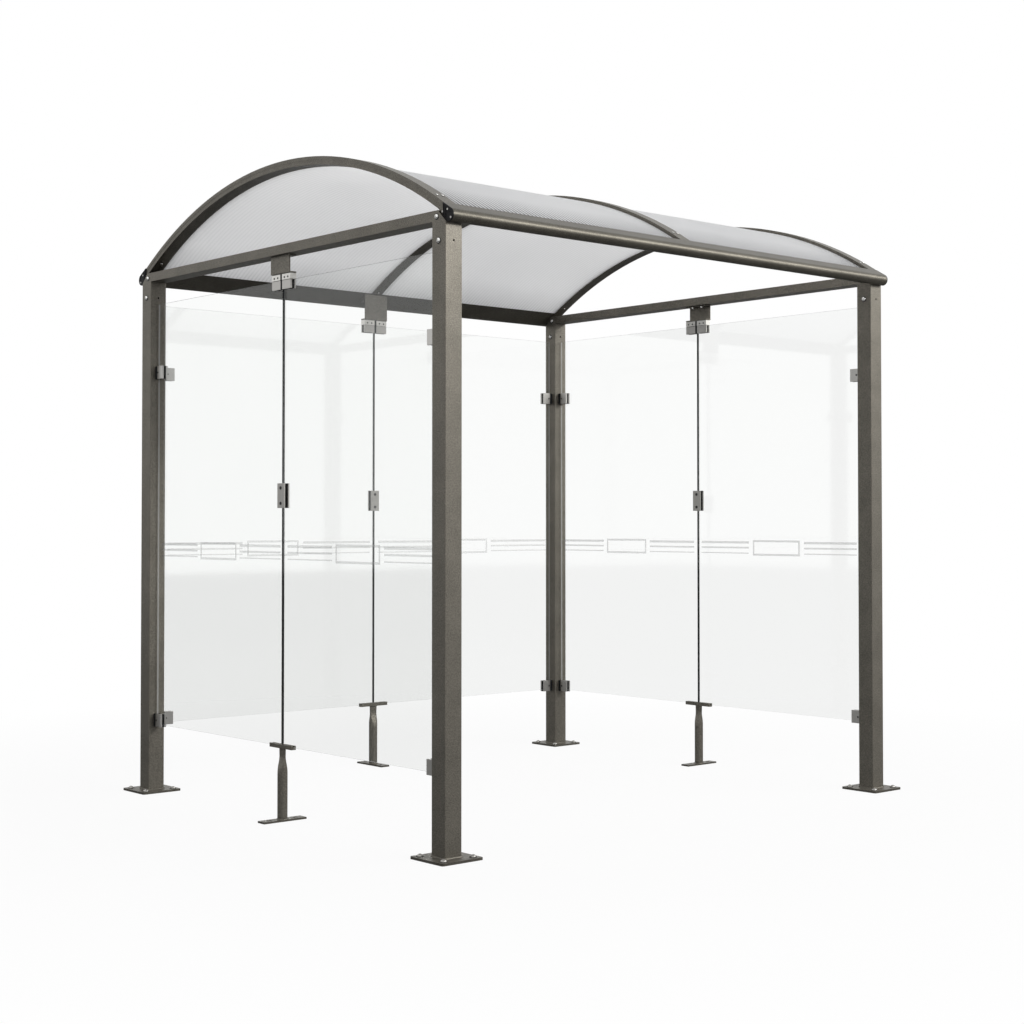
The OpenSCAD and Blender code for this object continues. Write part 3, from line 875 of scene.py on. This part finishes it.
# --------------------------------------------------- floor, light and camera
def floor_material():
    """Pale floor: white for the camera, with the object's shadow near it."""
    m, nt = new_mat("pale_floor")
    far = node(nt, "BsdfDiffuse", Color=(0.13, 0.13, 0.13, 1))
    shadowed = node(nt, "BsdfDiffuse", Color=(0.85, 0.85, 0.85, 1))
    white = node(nt, "Emission", Strength=1.0)
    away = node(nt, "VectorMath")
    away.operation = "LENGTH"
    nt.links.new(obj_coord(nt), away.inputs[0])
    fade = map_range(nt, away.outputs["Value"], (2.0, 4.5), (0.94, 1.0))
    seen = mix_shader(nt, fade, shadowed, white)
    path = node(nt, "LightPath").outputs
    glossy = math_node(nt, "MULTIPLY", path["Is Glossy Ray"], 0.13)
    indirect = math_node(nt, "MAXIMUM", glossy, path["Is Transmission Ray"])
    share = math_node(nt, "MAXIMUM", path["Is Camera Ray"], indirect)
    to_output(nt, mix_shader(nt, share, far, seen))
    return m


def stage_floor():
    bm = bmesh.new()
    box(bm, (-30, -30, -0.02), (30, 30, -0.0005))
    me = bpy.data.meshes.new("floor")
    bm.to_mesh(me)
    bm.free()
    me.materials.append(floor_material())
    o = bpy.data.objects.new("floor", me)
    bpy.context.scene.collection.objects.link(o)


def studio_world():
    """Soft light on the object, white where camera, gloss or glass look at it."""
    world = bpy.data.worlds.new("studio")
    bpy.context.scene.world = world
    world.use_nodes = True
    nt = world.node_tree
    nt.nodes.clear()
    soft = node(nt, "Background", Color=(0.95, 0.97, 1.0, 1), Strength=0.24)
    white = node(nt, "Background", Color=(1, 1, 1, 1), Strength=1.0)
    path = node(nt, "LightPath").outputs
    indirect = math_node(nt, "MAXIMUM", path["Is Glossy Ray"], path["Is Transmission Ray"])
    share = math_node(nt, "MAXIMUM", path["Is Camera Ray"], indirect)
    to_output(nt, mix_shader(nt, share, soft, white), "OutputWorld")


def area(name, loc, target, size, power, color):
    d = bpy.data.lights.new(name, "AREA")
    d.shape = "RECTANGLE"
    d.size, d.size_y = size
    d.energy = power
    d.color = color
    o = bpy.data.objects.new(name, d)
    o.location = loc
    o.rotation_euler = (Vector(target) - Vector(loc)).to_track_quat("-Z", "Y").to_euler()
    o.visible_camera = False
    bpy.context.scene.collection.objects.link(o)
    return o


def studio_camera():
    cam = bpy.data.cameras.new("camera")
    cam.sensor_width = 36
    cam.lens = 60.37875
    cam.shift_y = -0.027041
    cam.clip_end = 100
    o = bpy.data.objects.new("camera", cam)
    o.location = (-5.2994, -6.0628, 1.2466)
    yaw, pitch = math.radians(48.86), math.radians(1.28)
    flat = math.cos(pitch)
    ahead = Vector((math.cos(yaw) * flat, math.sin(yaw) * flat, math.sin(pitch)))
    o.rotation_euler = ahead.to_track_quat("-Z", "Y").to_euler()
    bpy.context.scene.collection.objects.link(o)
    bpy.context.scene.camera = o


dress_cad_nodes()
roof_sheets()
eave_caps()
top_clips()
joint_clamps()
post_clamps()
joint_seals()
feet()
post_welds()
frame_bolts()
anchor_bolts()
frosted_bands()
stage_floor()
studio_world()
area("key", (3.0, -6.2, 4.7), (0.1, -1.1, 1.7), (8.0, 1.0), 410, (1, 0.985, 0.96))
left_lamp = area("left", (-4.4, -0.3, 3.4), (-1.3, 0, 1.7), (1.5, 1.5), 17, (0.98, 0.99, 1))
left_lamp.visible_glossy = False
studio_camera()
bpy.context.scene.view_settings.view_transform = "Standard"
